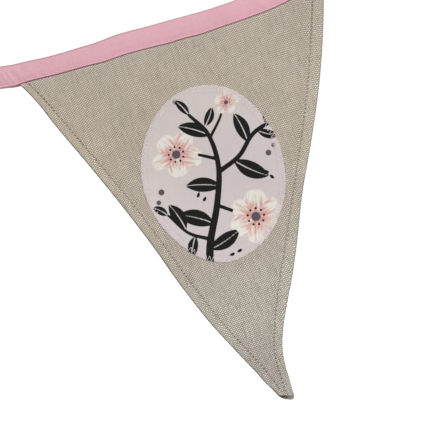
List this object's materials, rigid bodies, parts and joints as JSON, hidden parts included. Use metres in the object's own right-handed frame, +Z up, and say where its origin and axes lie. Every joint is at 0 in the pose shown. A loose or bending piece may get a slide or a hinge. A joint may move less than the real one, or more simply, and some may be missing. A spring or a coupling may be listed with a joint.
{
  "type": "fabric bunting",
  "caption": "Hemmed linen pennant hanging from a folded cotton binding that rises in a swag, with a zigzag-stitched oval cotton patch on its front.",
  "frame": {"origin": "on the fold of the binding, over the middle of the pennant, where a hand or nail would hold it", "axes": "+Z up, -Y out of the pennant's front, +X to the right seen from the front, towards the higher end of the swag"},
  "size_m": [0.3018, 0.0094, 0.3011],
  "materials": {
    "natural_linen": "natural linen in a close, slightly slubby weave, matte",
    "pink_cotton": "plain pink cotton binding, fine weave, matte",
    "printed_cotton": "pale pinkish grey printed cotton, fine smooth weave, matte"
  },
  "bodies": {
    "root": {"linen_pennant": "natural_linen", "cotton_binding": "pink_cotton", "oval_patch": "printed_cotton"}
  },
  "joints": []
}
